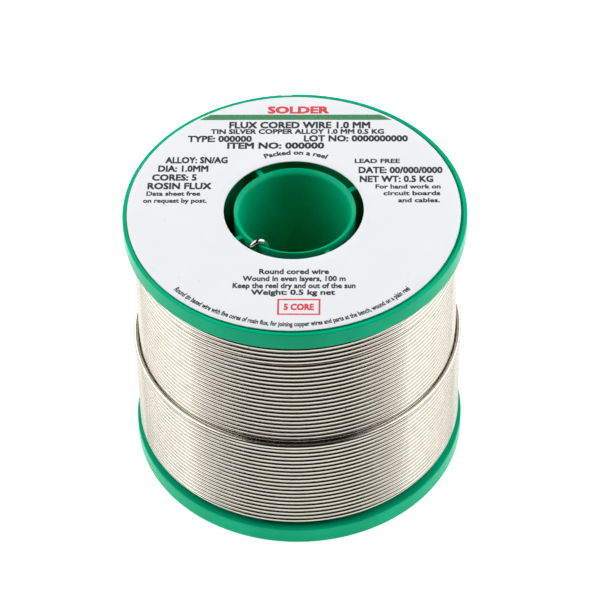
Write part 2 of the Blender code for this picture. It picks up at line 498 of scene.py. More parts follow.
@dataclass(frozen=True)
class DrawnSolder:
    """Tin alloy wire drawn through dies: bright, warm silver with lines along the wire, dull spots and nicks.

    The real lines are a few hundredths of a millimetre apart; they are drawn coarser so that they show.
    """

    name: str = "drawn_lead_free_solder_wire"
    colour: str = "#C6C1B6"
    dull_colour: str = "#B2AC9F"
    nick_colour: str = "#3C372F"
    roughness: float = 0.12
    line_spacing: float = 0.11
    line_length: float = 4.0
    dull_patch: float = 2.4
    nick_size: float = 0.5
    handled_place: tuple[float, float, float] = (3.0, -29.6, 23.0)
    handled_radius: float = 4.0

    def material(self) -> bpy.types.Material:
        """Build the material from the wire's own "along" and "ring" attributes and its place.

        Returns:
            The material.
        """
        material, tree, shader = new_material(self.name)
        place = add_node(tree, "ShaderNodeTexCoord").outputs["Object"]
        along = add_node(tree, "ShaderNodeAttribute", attribute_name="along").outputs["Fac"]
        ring = add_node(tree, "ShaderNodeAttribute", attribute_name="ring").outputs["Vector"]
        slow = add_node(
            tree, "ShaderNodeMath", {0: along, 1: self.line_spacing / self.line_length}, operation="MULTIPLY"
        )
        lengthwise = add_node(tree, "ShaderNodeCombineXYZ", {"Z": slow})
        drawn = add_node(tree, "ShaderNodeVectorMath", {0: ring, 1: lengthwise}, operation="ADD")
        lines = add_node(
            tree, "ShaderNodeTexNoise", {"Vector": drawn, "Scale": per_metre(self.line_spacing), "Detail": 2.0}
        )
        dull = add_node(
            tree, "ShaderNodeTexNoise",
            {"Vector": place, "Scale": per_metre(self.dull_patch), "Detail": 5.0, "Roughness": 0.6},
        )
        patches = add_node(
            tree, "ShaderNodeMapRange", {"Value": dull, "From Min": 0.45, "From Max": 0.8, "To Max": 0.6}
        )
        coat = add_node(
            tree, "ShaderNodeMix",
            {0: patches, COLOUR_A: linear_rgba(self.colour), COLOUR_B: linear_rgba(self.dull_colour)},
            data_type="RGBA",
        )
        nicks = self._nicks(tree, place)
        marked = add_node(
            tree, "ShaderNodeMix",
            {0: nicks, COLOUR_A: coat.outputs[BLENDED], COLOUR_B: linear_rgba(self.nick_colour)},
            data_type="RGBA",
        )
        uneven = add_node(tree, "ShaderNodeMath", {0: lines, 1: patches}, operation="ADD")
        rough = add_node(
            tree, "ShaderNodeMapRange",
            {"Value": uneven, "From Min": 0.3, "From Max": 1.4,
             "To Min": self.roughness - 0.03, "To Max": self.roughness + 0.07},
        )
        height = add_node(tree, "ShaderNodeMath", {0: lines, 1: nicks}, operation="SUBTRACT")
        bump = add_node(tree, "ShaderNodeBump", {"Height": height, "Strength": 0.08, "Distance": 0.01 * MM})
        set_inputs(tree, shader, {
            "Base Color": marked.outputs[BLENDED], "Roughness": rough, "Normal": bump, "Metallic": 1.0,
        })
        return material

    def _nicks(self, tree: bpy.types.NodeTree, place: bpy.types.NodeSocket) -> bpy.types.Node:
        """Sparse dark nicks, and more of them where the spool was handled.

        Args:
            tree: The material's tree.
            place: Object coordinates.

        Returns:
            A node whose output is 1 on a nick and 0 elsewhere.
        """
        spots = add_node(
            tree, "ShaderNodeTexNoise",
            {"Vector": place, "Scale": per_metre(self.nick_size), "Detail": 1.0, "Distortion": 0.6},
        )
        centre = tuple(value * MM for value in self.handled_place)
        far = add_node(tree, "ShaderNodeVectorMath", {0: place, 1: centre}, operation="DISTANCE")
        handled = add_node(
            tree, "ShaderNodeMapRange",
            {"Value": far.outputs["Value"], "From Max": self.handled_radius * MM, "To Min": 0.10, "To Max": 0.0},
        )
        likely = add_node(tree, "ShaderNodeMath", {0: spots, 1: handled}, operation="ADD")
        return add_node(
            tree, "ShaderNodeMapRange", {"Value": likely, "From Min": 0.76, "From Max": 0.80, "To Max": 0.75}
        )


@dataclass(frozen=True)
class WoundSolder:
    """The buried layers of the same wire, whose turns show as bands one wire apart, with painted shade in the grooves
    between turns.
    """

    name: str = "wound_solder_layers"
    # Darker than the outer wire's colour: painted shade on the buried turns
    colour: str = "#A69E90"
    # Painted shade in the grooves between turns
    groove_shade_colour: str = "#3A352E"
    roughness: float = 0.32
    pitch: float = 1.01
    dull_patch: float = 3.0

    def material(self) -> bpy.types.Material:
        """Build the material from bands across the spindle axis, dark in their grooves as painted shade, and dull
        patches.

        Returns:
            The material.
        """
        material, tree, shader = new_material(self.name)
        place = add_node(tree, "ShaderNodeTexCoord").outputs["Object"]
        turns = add_node(
            tree, "ShaderNodeTexWave", {"Vector": place, "Scale": per_metre(self.pitch) * BAND_PERIOD},
            wave_type="BANDS", bands_direction="Z",
        )
        dull = add_node(
            tree, "ShaderNodeTexNoise", {"Vector": place, "Scale": per_metre(self.dull_patch), "Detail": 4.0}
        )
        # Painted shade: the grooves between turns mix towards the dark groove colour, made uneven by the dull patches
        depth = add_node(tree, "ShaderNodeMath", {0: turns, 1: dull}, operation="MULTIPLY")
        base = add_node(
            tree, "ShaderNodeMix",
            {0: depth, COLOUR_A: linear_rgba(self.groove_shade_colour), COLOUR_B: linear_rgba(self.colour)},
            data_type="RGBA",
        )
        bump = add_node(tree, "ShaderNodeBump", {"Height": turns, "Strength": 0.9, "Distance": 0.3 * MM})
        set_inputs(tree, shader, {
            "Base Color": base.outputs[BLENDED], "Roughness": self.roughness, "Normal": bump, "Metallic": 1.0,
        })
        return material


@dataclass(frozen=True)
class CoatedPaper:
    """Coated label paper: cool white and satin, with a fine fibre and a few dust specks."""

    name: str = "coated_label_paper"
    colour: str = "#F1F3F6"
    cloud_colour: str = "#EBEDF1"
    speck_colour: str = "#9BA0A6"
    roughness: float = 0.48
    refraction: float = 1.5
    fibre: float = 0.3
    cloud: float = 9.0
    speck_spacing: float = 2.2

    def material(self) -> bpy.types.Material:
        """Build the material from its clouds, specks and fibre.

        Returns:
            The material.
        """
        material, tree, shader = new_material(self.name)
        place = add_node(tree, "ShaderNodeTexCoord").outputs["Object"]
        clouds = add_node(
            tree, "ShaderNodeTexNoise", {"Vector": place, "Scale": per_metre(self.cloud), "Detail": 3.0}
        )
        base = add_node(
            tree, "ShaderNodeMix",
            {0: clouds, COLOUR_A: linear_rgba(self.colour), COLOUR_B: linear_rgba(self.cloud_colour)},
            data_type="RGBA",
        )
        cells = add_node(tree, "ShaderNodeTexVoronoi", {"Vector": place, "Scale": per_metre(self.speck_spacing)})
        specks = add_node(
            tree, "ShaderNodeMapRange",
            {"Value": cells, "From Min": 0.03, "From Max": 0.06, "To Min": 0.5, "To Max": 0.0},
        )
        dusty = add_node(
            tree, "ShaderNodeMix",
            {0: specks, COLOUR_A: base.outputs[BLENDED], COLOUR_B: linear_rgba(self.speck_colour)},
            data_type="RGBA",
        )
        fibre = add_node(
            tree, "ShaderNodeTexNoise",
            {"Vector": place, "Scale": per_metre(self.fibre), "Detail": 3.0, "Distortion": 1.5},
        )
        rough = add_node(
            tree, "ShaderNodeMapRange",
            {"Value": fibre, "To Min": self.roughness - 0.08, "To Max": self.roughness + 0.08},
        )
        bump = add_node(tree, "ShaderNodeBump", {"Height": fibre, "Strength": 0.15, "Distance": 0.02 * MM})
        set_inputs(tree, shader, {
            "Base Color": dusty.outputs[BLENDED], "Roughness": rough, "Normal": bump, "IOR": self.refraction,
        })
        return material


@dataclass(frozen=True)
class PrintInk:
    """Offset printing ink on coated paper: satin, a little thinner in places."""

    name: str
    colour: str
    thin_colour: str
    roughness: float = 0.42
    thin_roughness: float = 0.55
    mottle: float = 0.35

    def material(self) -> bpy.types.Material:
        """Build the material from its full and its thin colour.

        Returns:
            The material.
        """
        material, tree, shader = new_material(self.name)
        place = add_node(tree, "ShaderNodeTexCoord").outputs["Object"]
        mottle = add_node(
            tree, "ShaderNodeTexNoise", {"Vector": place, "Scale": per_metre(self.mottle), "Detail": 3.0}
        )
        thin = add_node(tree, "ShaderNodeMapRange", {"Value": mottle, "From Min": 0.4, "From Max": 0.75})
        base = add_node(
            tree, "ShaderNodeMix",
            {0: thin, COLOUR_A: linear_rgba(self.colour), COLOUR_B: linear_rgba(self.thin_colour)},
            data_type="RGBA",
        )
        rough = add_node(
            tree, "ShaderNodeMapRange",
            {"Value": mottle, "To Min": self.roughness - 0.05, "To Max": self.thin_roughness},
        )
        bump = add_node(tree, "ShaderNodeBump", {"Height": mottle, "Strength": 0.1, "Distance": 0.01 * MM})
        set_inputs(tree, shader, {"Base Color": base.outputs[BLENDED], "Roughness": rough, "Normal": bump})
        return material


@dataclass(frozen=True)
class RosinFlux:
    """Set rosin in the wire's cores: amber, hard and clear, with small bubbles."""

    name: str = "set_rosin_flux"
    colour: str = "#C88A34"
    deep_colour: str = "#8A5418"
    roughness: float = 0.18
    refraction: float = 1.54
    bubble: float = 0.06

    def material(self) -> bpy.types.Material:
        """Build the material from its light and deep amber.

        Returns:
            The material.
        """
        material, tree, shader = new_material(self.name)
        place = add_node(tree, "ShaderNodeTexCoord").outputs["Object"]
        bubbles = add_node(
            tree, "ShaderNodeTexNoise", {"Vector": place, "Scale": per_metre(self.bubble), "Detail": 2.0}
        )
        base = add_node(
            tree, "ShaderNodeMix",
            {0: bubbles, COLOUR_A: linear_rgba(self.deep_colour), COLOUR_B: linear_rgba(self.colour)},
            data_type="RGBA",
        )
        bump = add_node(tree, "ShaderNodeBump", {"Height": bubbles, "Strength": 0.3, "Distance": 0.01 * MM})
        set_inputs(tree, shader, {
            "Base Color": base.outputs[BLENDED], "Roughness": self.roughness, "Normal": bump,
            "IOR": self.refraction,
        })
        return material


@dataclass(frozen=True)
class StudioPaper:
    """White background paper that glows evenly so that it reads as plain white, with a painted shadow where the spool
    stands.
    """

    name: str = "white_background_paper"
    colour: str = "#FAFAFA"
    glow: float = 0.6
    # Painted shadow under the spool: no glow within this radius less the fade, full glow beyond it
    shadow_radius: float = 29.0
    shadow_fade: float = 2.0
    sheen: float = 0.1
    roughness: float = 0.9
    tooth: float = 0.8

    def material(self) -> bpy.types.Material:
        """Build the matt white paper with a fine tooth and an even glow, except under the spool, where the glow fades
        out as a painted shadow.

        Returns:
            The material.
        """
        material, tree, shader = new_material(self.name)
        place = add_node(tree, "ShaderNodeTexCoord").outputs["Object"]
        tooth = add_node(
            tree, "ShaderNodeTexNoise", {"Vector": place, "Scale": per_metre(self.tooth), "Detail": 2.0}
        )
        bump = add_node(tree, "ShaderNodeBump", {"Height": tooth, "Strength": 0.05, "Distance": 0.02 * MM})
        reach = add_node(tree, "ShaderNodeVectorMath", {0: place}, operation="LENGTH")
        # Painted shadow: the glow fades to nothing under the spool
        lit = add_node(
            tree, "ShaderNodeMapRange",
            {"Value": reach.outputs["Value"], "From Min": (self.shadow_radius - self.shadow_fade) * MM,
             "From Max": self.shadow_radius * MM, "To Max": self.glow},
        )
        white = linear_rgba(self.colour)
        set_inputs(tree, shader, {
            "Base Color": white, "Roughness": self.roughness, "Normal": bump, "Specular IOR Level": self.sheen,
            "Emission Color": white, "Emission Strength": lit,
        })
        return material


# ---------------------------------------------------------------- the moulded spool

@dataclass
class MouldedSpool:
    """The one-piece moulding: two flanges, the barrel, the spindle tube and the ribs that hold it.

    The flange's size and the spool's height come from the part; the other sizes are in millimetres.
    """

    rim_thickness: float = 3.4
    rim_edge: float = 0.2
    lip_edge: float = 0.12
    lip_width: float = 0.7
    recess_depth: float = 0.5
    recess_fillet: float = 0.1
    barrel_fillet: float = 0.3
    cavity_edge: float = 0.2
    barrel_radius: float = 16.3
    cavity_radius: float = 14.8
    bore_radius: float = 9.85
    tube_radius: float = 10.8
    mouth_depth: float = 0.6
    mouth_land: float = 0.15
    mouth_edge: float = 0.07
    mouth_fillet: float = 0.9
    rib_count: int = 4
    rib_thickness: float = 0.9
    rib_drop: float = 0.9
    rib_root: float = 0.4
    first_rib: float = 30.0
    parting_angle: float = -46.0
    parting_groove: float = 0.2
    exit_azimuth: float = 226.0
    exit_radius: float = 0.8
    exit_height: float = 50.6
    ejector_count: int = 6
    first_ejector: float = 16.3
    ejector_radius: float = 1.5
    ejector_depth: float = 0.08
    gate_radius: float = 0.28
    gate_length: float = 2.0
    gate_azimuth: float = 92.0
    segments: int = 224
    fillet_steps: int = 5
    mouth_steps: int = 4
    crease: float = 32.0
    finish: MouldedPolystyrene = MouldedPolystyrene()

    def __post_init__(self) -> None:
        """Read the outside sizes from the part."""
        low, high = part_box("moulded_spool")
        self.flange_radius = high.x / MM
        self.height = (high.z - low.z) / MM

    def build(self) -> None:
        """Make the moulding, cut its small marks and dress it."""
        spool = lathe("green_moulded_spool", self._flanges_and_barrel(), self.segments)
        tube = lathe("spindle_tube", self._spindle_tube(), self.segments)
        for tool in (self._ribs(), tube):
            combine(spool, tool, "UNION")
        for tool in (self._wire_exit(), self._parting_grooves(), self._ejector_marks(), self._gate_nick()):
            combine(spool, tool, "DIFFERENCE")
        spool.data.materials.clear()
        spool.data.materials.append(self.finish.material())
        for face in spool.data.polygons:
            face.material_index = 0
        shade(spool, self.crease)
        weighted = spool.modifiers.new("flat faces stay flat", "WEIGHTED_NORMAL")
        weighted.keep_sharp = True
        bake_modifiers(spool)
        install(spool, "spool_plastic", "moulded_spool")

    def _flanges_and_barrel(self) -> Outline:
        """Section of the flanges and the barrel, with every edge rounded as a mould leaves it.

        Returns:
            The outline, in metres.
        """
        rim, lip = self.flange_radius, self.flange_radius - self.lip_width
        top, low, recess = self.height, self.rim_thickness, self.recess_depth
        corners = [
            (lip, top, self.lip_edge), (rim, top, self.rim_edge), (rim, top - low, self.rim_edge),
            (self.barrel_radius, top - low, self.barrel_fillet), (self.barrel_radius, low, self.barrel_fillet),
            (rim, low, self.rim_edge), (rim, 0.0, self.rim_edge), (lip, 0.0, self.lip_edge),
            (lip, recess, self.recess_fillet), (self.cavity_radius, recess, self.cavity_edge),
            (self.cavity_radius, top - recess, self.cavity_edge), (lip, top - recess, self.recess_fillet),
        ]
        return rounded_outline(corners, self.fillet_steps)

    def _spindle_tube(self) -> Outline:
        """Section of the spindle tube, with a lead-in at each mouth.

        Returns:
            The outline, in metres.
        """
        bore, tube, land = self.bore_radius, self.tube_radius, self.tube_radius - self.mouth_land
        top, lead, edge, soft = self.height, self.mouth_depth, self.mouth_edge, self.mouth_fillet
        corners = [
            (land, top, edge), (tube, top, edge), (tube, 0.0, edge), (land, 0.0, edge),
            (bore, lead, soft), (bore, top - lead, soft),
        ]
        return rounded_outline(corners, self.mouth_steps)

    def _ribs(self) -> bpy.types.Object:
        """The thin walls between the spindle tube and the barrel.

        Returns:
            The walls, as one object.
        """
        return grow_from_nodes("ribs", ring_of_shapes(RingShape.WALL), {
            "Count": self.rib_count,
            "Ring Radius": (self.cavity_radius + self.tube_radius) / 2 * MM,
            "First Angle": math.radians(self.first_rib),
            "Height": self.height / 2 * MM,
            "Length": (self.cavity_radius - self.tube_radius + 2 * self.rib_root) * MM,
            "Thickness": self.rib_thickness * MM,
            "Depth": (self.height - 2 * self.rib_drop) * MM,
        })

    def _parting_grooves(self) -> bpy.types.Object:
        """The fine lines that the two halves of the mould leave on both rims.

        Returns:
            The shapes to cut away, as one object.
        """
        return grow_from_nodes("parting_grooves", ring_of_shapes(RingShape.WALL), {
            "Count": 2,
            "Ring Radius": self.flange_radius * MM,
            "First Angle": math.radians(self.parting_angle),
            "Height": self.height / 2 * MM,
            "Length": 1.6 * self.parting_groove * MM,
            "Thickness": self.parting_groove * MM,
            "Depth": 1.2 * self.height * MM,
        })

    def _ejector_marks(self) -> bpy.types.Object:
        """The shallow round marks of the ejector pins in the bottom recess.

        Returns:
            The shapes to cut away, as one object.
        """
        return grow_from_nodes("ejector_marks", ring_of_shapes(RingShape.PIN), {
            "Count": self.ejector_count,
            "Ring Radius": (self.cavity_radius + self.flange_radius) / 2 * MM,
            "First Angle": math.radians(self.first_ejector),
            "Height": self.recess_depth * MM,
            "Length": self.ejector_radius * MM,
            "Depth": 2 * self.ejector_depth * MM,
        })

    def _gate_nick(self) -> bpy.types.Object:
        """The small nick where the gate was cut from the back of the top rim.

        Returns:
            The shape to cut away.
        """
        bpy.ops.mesh.primitive_cylinder_add(
            radius=self.gate_radius * MM, depth=self.gate_length * MM, vertices=16
        )
        nick = bpy.context.object
        nick.name = "gate_nick"
        spot = Matrix.Translation(polar(self.flange_radius * MM, self.gate_azimuth, self.height * MM))
        nick.data.transform(spot @ Matrix.Rotation(math.pi / 2, 4, "Y"))
        return nick

    def _wire_exit(self) -> bpy.types.Object:
        """The hole that the start of the wire comes in by.

        Returns:
            The shape to cut away.
        """
        depth = 3 * (self.barrel_radius - self.cavity_radius) * MM
        bpy.ops.mesh.primitive_cylinder_add(radius=self.exit_radius * MM, depth=depth, vertices=32)
        hole = bpy.context.object
        hole.name = "wire_exit"
        middle = (self.barrel_radius + self.cavity_radius) / 2 * MM
        place = Matrix.Translation(polar(middle, self.exit_azimuth, self.exit_height * MM))
        round_axis = Matrix.Rotation(math.radians(self.exit_azimuth), 4, "Z")
        hole.data.transform(place @ round_axis @ Matrix.Rotation(math.pi / 2, 4, "Y"))
        return hole


# ---------------------------------------------------------------- the wire

@dataclass
class Winding:
    """The one long wire: its two outer layers, its free end and its start, in millimetres.

    A layer is a helix. The part layer lies in the grooves of the full one, and its last turn rides a
    little proud. One turn near the top of the full layer lies loose, with a gap below it.
    """

    wire_diameter: float = 1.0
    pitch: float = 1.011
    turn_steps: int = 120
    sides: int = 12
    crease: float = 50.0
    free_end: float = 77.0
    bottom_turn: float = 4.72
    slack: float = 0.01
    loose_gap: float = 0.24
    loose_height: float = 45.2
    loose_azimuth: float = -140.0
    loose_spread: float = 0.16
    proud: float = 0.2
    proud_turns: float = 1.05
    proud_spread: float = 0.12
    sway_scale: float = 1.3
    core_count: int = 5
    core_radius: float = 0.1
    core_ring: float = 0.29
    core_depth: float = 0.08
    tail_twist: float = 13.0
    tail_clearance: float = 0.3
    tail_lift: float = 0.02
    tail_steps: int = 8
    tail_sides: int = 20
    bore_clearance: float = 0.1
    solder: DrawnSolder = DrawnSolder()
    buried: WoundSolder = WoundSolder()
    flux: RosinFlux = RosinFlux()

    def __post_init__(self) -> None:
        """Read the layers' places from the part."""
        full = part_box("wire_outer_layer")
        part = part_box("wire_part_layer")
        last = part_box("wire_last_turn")
        half = self.wire_diameter / 2
        self.full_radius = full[1].x / MM - half
        self.part_radius = part[1].x / MM - half
        self.last_height = (last[0].z + last[1].z) / 2 / MM
        self.full_top = full[1].z / MM - half

    def build(self, spool: MouldedSpool) -> None:
        """Make and dress every stretch of the wire that shows.

        Args:
            spool: The spool that the wire is wound on.
        """
        wire = self.solder.material()
        # The top turn ends half a pitch above its own middle
        turns = (self.last_height - self.bottom_turn) / self.pitch + 0.5
        start = self.free_end - 360 * (turns % 1)
        tree = self._helix_tree()
        full_start = self.bottom_turn + self.pitch / 2
        loose_turn = round((self.loose_height - full_start) / self.pitch)
        full = grow_from_nodes("wire_full_layer", tree, self._coil(
            turns=(self.full_top - self.loose_gap - full_start) / self.pitch, start=start,
            height=full_start, radius=self.full_radius, wire=wire,
            loose=loose_turn + (self.loose_azimuth - start) / 360 % 1, lift_from=NO_TURN, seed=3.0,
        ))
        shade(full, self.crease)
        install(full, "solder_wire", "wire_outer_layer")
        top = grow_from_nodes("wire_top_layer", tree, self._coil(
            turns=turns, start=start, height=self.bottom_turn, radius=self.part_radius, wire=wire,
            loose=NO_TURN, lift_from=turns - self.proud_turns, seed=8.0,
        ))
        shade(top, self.crease)
        install(top, "solder_wire", "wire_part_layer", "wire_last_turn")
        self._dress_buried_layers()
        end = polar((self.part_radius + self.proud) * MM, self.free_end, (self.bottom_turn + turns * self.pitch) * MM)
        self._flux_cores("flux_cores_free_end", end, polar(1.0, self.free_end + 90, 0.0))
        self._build_start_tail(spool, wire)

    def _coil(
        self, turns: float, start: float, height: float, radius: float, wire: bpy.types.Material,
        loose: float, lift_from: float, seed: float,
    ) -> TreeValues:
        """Values for one helix, in the tree's units.

        Args:
            turns: How many turns it has.
            start: Azimuth of its lower end, in degrees.
            height: Height of the lower end.
            radius: From the spindle axis to the wire's middle.
            wire: The wire's material.
            loose: The turn that the loose gap follows.
            lift_from: The turn from which the wire rides proud.
            seed: Which slack the wire has.

        Returns:
            The inputs by name.
        """
        return {
            "Turns": turns, "Steps": int(turns * self.turn_steps), "Start Angle": math.radians(start),
            "Start Height": height * MM, "Pitch": self.pitch * MM, "Coil Radius": radius * MM,
            "Wire Radius": self.wire_diameter / 2 * MM, "Sides": self.sides, "Loose Turn": loose,
            "Loose Gap": self.loose_gap * MM, "Loose Spread": self.loose_spread, "Lift From": lift_from,
            "Lift": self.proud * MM, "Slack": self.slack * MM, "Seed": seed, "Material": wire,
        }

    def _helix_tree(self) -> bpy.types.NodeTree:
        """Build the tree that winds a wire into a helix.

        Returns:
            A tree with named inputs for the coil, the wire, its loose turn and its proud end.
        """
        tree, given = new_geometry_tree("wound_wire", {
            "Turns": "Float", "Steps": "Int", "Start Angle": "Float", "Start Height": "Float",
            "Pitch": "Float", "Coil Radius": "Float", "Wire Radius": "Float", "Sides": "Int",
            "Loose Turn": "Float", "Loose Gap": "Float", "Loose Spread": "Float", "Lift From": "Float",
            "Lift": "Float", "Slack": "Float", "Seed": "Float", "Material": "Material",
        })
        size = given.outputs
        line = add_node(tree, "GeometryNodeCurvePrimitiveLine")
        points = add_node(
            tree, "GeometryNodeResampleCurve", {"Curve": line, "Count": size["Steps"]}
        )
        index = add_node(tree, "GeometryNodeInputIndex")
        last = add_node(tree, "ShaderNodeMath", {0: size["Steps"], 1: 1.0}, operation="SUBTRACT")
        share = add_node(tree, "ShaderNodeMath", {0: index, 1: last}, operation="DIVIDE")
        turn = add_node(tree, "ShaderNodeMath", {0: share, 1: size["Turns"]}, operation="MULTIPLY")
        angle = add_node(
            tree, "ShaderNodeMath", {0: turn, 1: math.tau, 2: size["Start Angle"]}, operation="MULTIPLY_ADD"
        )
        rise = add_node(
            tree, "ShaderNodeMath", {0: turn, 1: size["Pitch"], 2: size["Start Height"]}, operation="MULTIPLY_ADD"
        )
        spread_end = add_node(
            tree, "ShaderNodeMath", {0: size["Loose Turn"], 1: size["Loose Spread"]}, operation="ADD"
        )
        gap = add_node(
            tree, "ShaderNodeMapRange",
            {"Value": turn, "From Min": size["Loose Turn"], "From Max": spread_end, "To Max": size["Loose Gap"]},
            interpolation_type="SMOOTHSTEP",
        )
        lift_end = add_node(tree, "ShaderNodeMath", {0: size["Lift From"], 1: self.proud_spread}, operation="ADD")
        lift = add_node(
            tree, "ShaderNodeMapRange",
            {"Value": turn, "From Min": size["Lift From"], "From Max": lift_end, "To Max": size["Lift"]},
            interpolation_type="SMOOTHSTEP",
        )
        east = add_node(tree, "ShaderNodeMath", {0: angle}, operation="COSINE")
        north = add_node(tree, "ShaderNodeMath", {0: angle}, operation="SINE")
        spot = add_node(tree, "ShaderNodeCombineXYZ", {"X": east, "Y": north, "Z": turn})
        sway = add_node(
            tree, "ShaderNodeTexNoise",
            {"Vector": spot, "W": size["Seed"], "Scale": self.sway_scale, "Detail": 2.0},
            noise_dimensions="4D",
        )
        middle = add_node(
            tree, "ShaderNodeVectorMath", {0: sway.outputs["Color"], 1: (0.5, 0.5, 0.5)}, operation="SUBTRACT"
        )
        slack = add_node(tree, "ShaderNodeVectorMath", {0: middle, "Scale": size["Slack"]}, operation="SCALE")
        wander = add_node(tree, "ShaderNodeSeparateXYZ", {"Vector": slack})
        proud = add_node(tree, "ShaderNodeMath", {0: size["Coil Radius"], 1: lift}, operation="ADD")
        radius = add_node(tree, "ShaderNodeMath", {0: proud, 1: wander.outputs["X"]}, operation="ADD")
        higher = add_node(tree, "ShaderNodeMath", {0: rise, 1: gap}, operation="ADD")
        height = add_node(tree, "ShaderNodeMath", {0: higher, 1: wander.outputs["Y"]}, operation="ADD")
        x = add_node(tree, "ShaderNodeMath", {0: radius, 1: east}, operation="MULTIPLY")
        y = add_node(tree, "ShaderNodeMath", {0: radius, 1: north}, operation="MULTIPLY")
        route = add_node(tree, "ShaderNodeCombineXYZ", {"X": x, "Y": y, "Z": height})
        wound = add_node(tree, "GeometryNodeSetPosition", {"Geometry": points, "Position": route})
        upright = add_node(tree, "GeometryNodeSetCurveNormal", {"Curve": wound}, mode="Z_UP")
        length = add_node(tree, "ShaderNodeMath", {0: angle, 1: size["Coil Radius"]}, operation="MULTIPLY")
        measured = add_node(
            tree, "GeometryNodeStoreNamedAttribute", {"Geometry": upright, "Name": "along", "Value": length},
            data_type="FLOAT", domain="POINT",
        )
        finish_geometry_tree(tree, self._sweep(tree, measured, size), size["Material"])
        return tree

    def _sweep(
        self, tree: bpy.types.NodeTree, curve: bpy.types.Node, size: bpy.types.bpy_prop_collection
    ) -> bpy.types.Node:
        """Sweep the wire's round section along a curve.

        Args:
            tree: The geometry tree.
            curve: The node with the curve.
            size: The tree's inputs, with "Sides" and "Wire Radius".

        Returns:
            The node with the wire's mesh, which has the section's place as its "ring" attribute.
        """
        circle = add_node(
            tree, "GeometryNodeCurvePrimitiveCircle", {"Resolution": size["Sides"], "Radius": size["Wire Radius"]}
        )
        around = add_node(tree, "GeometryNodeInputPosition")
        section = add_node(
            tree, "GeometryNodeStoreNamedAttribute", {"Geometry": circle, "Name": "ring", "Value": around},
            data_type="FLOAT_VECTOR", domain="POINT",
        )
        return add_node(
            tree, "GeometryNodeCurveToMesh", {"Curve": curve, "Profile Curve": section, "Fill Caps": True}
        )

    def _dress_buried_layers(self) -> None:
        """Give the buried layers, which stay the part's own solid, their finish."""
        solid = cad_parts["wire_inner_layers"]
        solid.data.materials.clear()
        solid.data.materials.append(self.buried.material())
        log.info("wire_inner_layers: the part's own solid, dressed")

    def _flux_cores(self, name: str, end: Vector, direction: Vector) -> None:
        """Show the flux cores in a cut end of the wire.

        Args:
            name: The piece's name.
            end: The middle of the cut face.
            direction: The way that the cut face looks.
        """
        cores = grow_from_nodes(name, ring_of_shapes(RingShape.PIN), {
            "Count": self.core_count, "Ring Radius": self.core_ring * MM, "First Angle": math.pi / 2,
            "Height": 0.0, "Length": self.core_radius * MM, "Depth": self.core_depth * MM,
            "Material": self.flux.material(),
        })
        turn = direction.to_track_quat("Z", "Y").to_matrix().to_4x4()
        cores.data.transform(Matrix.Translation(end) @ turn)
        shade(cores, self.crease)
        install(cores, "")

    def _build_start_tail(self, spool: MouldedSpool, wire: bpy.types.Material) -> None:
        """Make the start of the wire, from the barrel's hole over the spindle tube into the bore.

        Args:
            spool: The spool, for its sizes.
            wire: The wire's material.
        """
        route = self._tail_route(spool)
        curve = bpy.data.curves.new("wire_start", "CURVE")
        curve.dimensions = "3D"
        spline = curve.splines.new("POLY")
        spline.points.add(len(route) - 1)
        for target, point in zip(spline.points, route):
            target.co = (*point, 1.0)
        tree, given = new_geometry_tree("swept_wire", {
            "Geometry": "Geometry", "Wire Radius": "Float", "Sides": "Int", "Material": "Material",
        })
        size = given.outputs
        travelled = add_node(tree, "GeometryNodeSplineParameter").outputs["Length"]
        measured = add_node(
            tree, "GeometryNodeStoreNamedAttribute",
            {"Geometry": size["Geometry"], "Name": "along", "Value": travelled},
            data_type="FLOAT", domain="POINT",
        )
        finish_geometry_tree(tree, self._sweep(tree, measured, size), size["Material"])
        guide = bpy.data.objects.new("wire_start_guide", curve)
        bpy.context.scene.collection.objects.link(guide)
        radius = self.wire_diameter / 2 * MM
        use_tree(guide, tree, {"Wire Radius": radius, "Sides": self.tail_sides, "Material": wire})
        tail = new_object("wire_start", evaluated_mesh(guide, "wire_start"))
        bpy.data.objects.remove(guide, do_unlink=True)
        shade(tail, self.crease)
        install(tail, "solder_wire", "wire_start_tail")
        self._flux_cores("flux_cores_start", route[-1], (route[-1] - route[-2]).normalized())

    def _tail_route(self, spool: MouldedSpool) -> list[Vector]:
        """Places along the start of the wire, on a smooth curve.

        Args:
            spool: The spool, for its sizes.

        Returns:
            Points in metres.
        """
        half = self.wire_diameter / 2
        exit_height, azimuth, twist = spool.exit_height, spool.exit_azimuth, self.tail_twist
        tube_top = spool.height
        over = tube_top + half + self.tail_lift
        rise = spool.tube_radius + self.tail_clearance + half
        inside = spool.bore_radius - half - self.bore_clearance
        climb = over - exit_height
        # Radius, share of the twist, and height of each place that the wire passes
        stations = [
            (spool.barrel_radius, 0.0, exit_height),
            (spool.cavity_radius, 0.0, exit_height),
            ((spool.cavity_radius + rise) / 2, 0.0, exit_height + 0.12 * climb),
            (rise, 0.06, exit_height + 0.45 * climb),
            (rise, 0.16, exit_height + 0.78 * climb),
            (spool.tube_radius + self.tail_clearance, 0.33, over - 0.12),
            ((spool.tube_radius + spool.bore_radius) / 2 - 0.1, 0.52, over),
            (inside + 0.2, 0.74, over - 0.8),
            (inside, 0.88, tube_top - 1.1),
            (inside, 1.0, tube_top - 3.0),
        ]
        points = [polar(r * MM, azimuth + share * twist, z * MM) for r, share, z in stations]
        padded = [2 * points[0] - points[1], *points, 2 * points[-1] - points[-2]]
        route = []
        for before, start, end, after in zip(padded, padded[1:], padded[2:], padded[3:]):
            for step in range(self.tail_steps):
                t = step / self.tail_steps
                linear = (end - before) * t
                square = (2 * before - 5 * start + 4 * end - after) * t ** 2
                cube = (3 * start - before - 3 * end + after) * t ** 3
                route.append(start + (linear + square + cube) / 2)
        return [*route, points[-1]]


# ---------------------------------------------------------------- the label

class Ink(Enum):
    """The label's printing inks."""

    BLACK = PrintInk("black_printing_ink", "#2A2A2E", "#45454B")
    RED = PrintInk("red_printing_ink", "#DE3F47", "#E8646A")
    GREEN = PrintInk("green_printing_ink", "#3F8556", "#5A9A6C")


